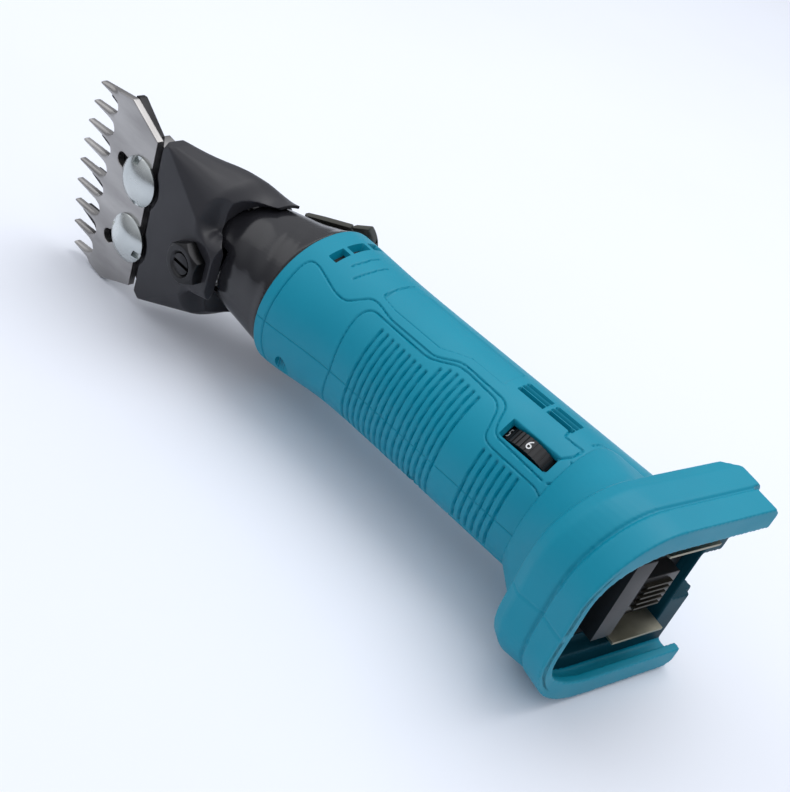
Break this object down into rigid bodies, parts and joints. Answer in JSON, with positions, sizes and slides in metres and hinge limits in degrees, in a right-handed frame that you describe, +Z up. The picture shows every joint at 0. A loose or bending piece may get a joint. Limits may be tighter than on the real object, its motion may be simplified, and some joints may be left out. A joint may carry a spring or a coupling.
{
  "type": "sheep shears",
  "caption": "Cordless sheep shears with a wide toothed comb, a swinging cutter, a round teal grip and a slide-in battery foot",
  "frame": {"origin": "middle of the overall box at floor level, where the lower comb corner and the lower flank of the battery foot touch the floor", "axes": "+X from the comb teeth to the battery foot along the handle, +Y towards the top side of the shears (they lie on their side), +Z up"},
  "size_m": [0.2788, 0.0797, 0.0783],
  "materials": {
    "comb_steel": "ground steel with fine wear pits",
    "black_steel": "black oxide, oiled",
    "zinc": "zinc plated, lightly scratched",
    "head_grey": "dark grey satin coat on cast metal",
    "neck_black": "glossy black moulding",
    "slider_grey": "olive-grey matte moulding",
    "seal_rubber": "soft black rubber",
    "body_teal": "teal moulding with a fine spark-eroded grain",
    "black_plastic": "black moulding",
    "bronze": "plain bronze and tinned brass",
    "board_green": "solder-masked board",
    "lead_red": "silicone lead insulation"
  },
  "bodies": {
    "tool": {"comb": "comb_steel", "comb_screws": "zinc", "head_casting": "head_grey", "centre_post": "black_steel", "lock_nut": "black_steel", "tension_sleeve": "comb_steel", "tension_pin": "comb_steel", "tension_spring": "comb_steel", "front_bearing": "comb_steel", "rear_bearing": "bronze", "bearing_plate": "zinc", "neck_cover": "neck_black", "neck_seal": "seal_rubber", "slider_guard": "slider_grey", "power_switch": "black_plastic", "motor_plate": "zinc", "motor_can": "comb_steel", "housing_upper": "body_teal", "housing_lower": "body_teal", "housing_screws": "black_steel", "dial_pin": "comb_steel", "control_board": "board_green", "board_parts": "black_plastic", "terminal_block": "black_plastic", "power_blades": "bronze", "signal_contacts": "bronze", "motor_leads": "lead_red", "battery_leads": "lead_red"},
    "swing": {"fork": "comb_steel", "claws": "comb_steel", "cutter": "black_steel"},
    "crank": {"crank_shaft": "comb_steel", "crank_roller": "comb_steel", "driven_gear": "comb_steel"},
    "rotor": {"motor_shaft": "comb_steel", "motor_pinion": "comb_steel", "cooling_fan": "black_plastic"},
    "tension": {"tension_knob": "black_plastic"},
    "dial": {"speed_dial": "black_plastic"},
    "slider": {"power_slider": "slider_grey"}
  },
  "joints": [
    {"name": "fork_swing", "type": "hinge", "parent": "tool", "child": "swing", "pos_m": [-0.06786, -0.01415, 0.039], "axis": [0, 1, 0], "range_deg": [-11.4, 0]},
    {"name": "crank_spin", "type": "hinge", "parent": "tool", "child": "crank", "pos_m": [-0.03436, -0.00315, 0.039], "axis": [1, 0, 0], "continuous": true},
    {"name": "motor_spin", "type": "hinge", "parent": "tool", "child": "rotor", "pos_m": [-0.01436, 0.01285, 0.039], "axis": [1, 0, 0], "continuous": true},
    {"name": "tension_turn", "type": "hinge", "parent": "tool", "child": "tension", "pos_m": [-0.07686, 0.01185, 0.039], "axis": [0, 1, 0], "range_deg": [0, 330]},
    {"name": "dial_turn", "type": "hinge", "parent": "tool", "child": "dial", "pos_m": [0.07314, -0.00271, 0.05168], "axis": [0, 0.829, 0.5592], "range_deg": [-250, 0]},
    {"name": "slider_slide", "type": "slide", "parent": "tool", "child": "slider", "axis": [-0.9703, -0.2419, 0], "range_m": [0, 0.004]}
  ],
  "couplings": [
    {"joint": "motor_spin", "follows": "crank_spin", "ratio": -3}
  ]
}
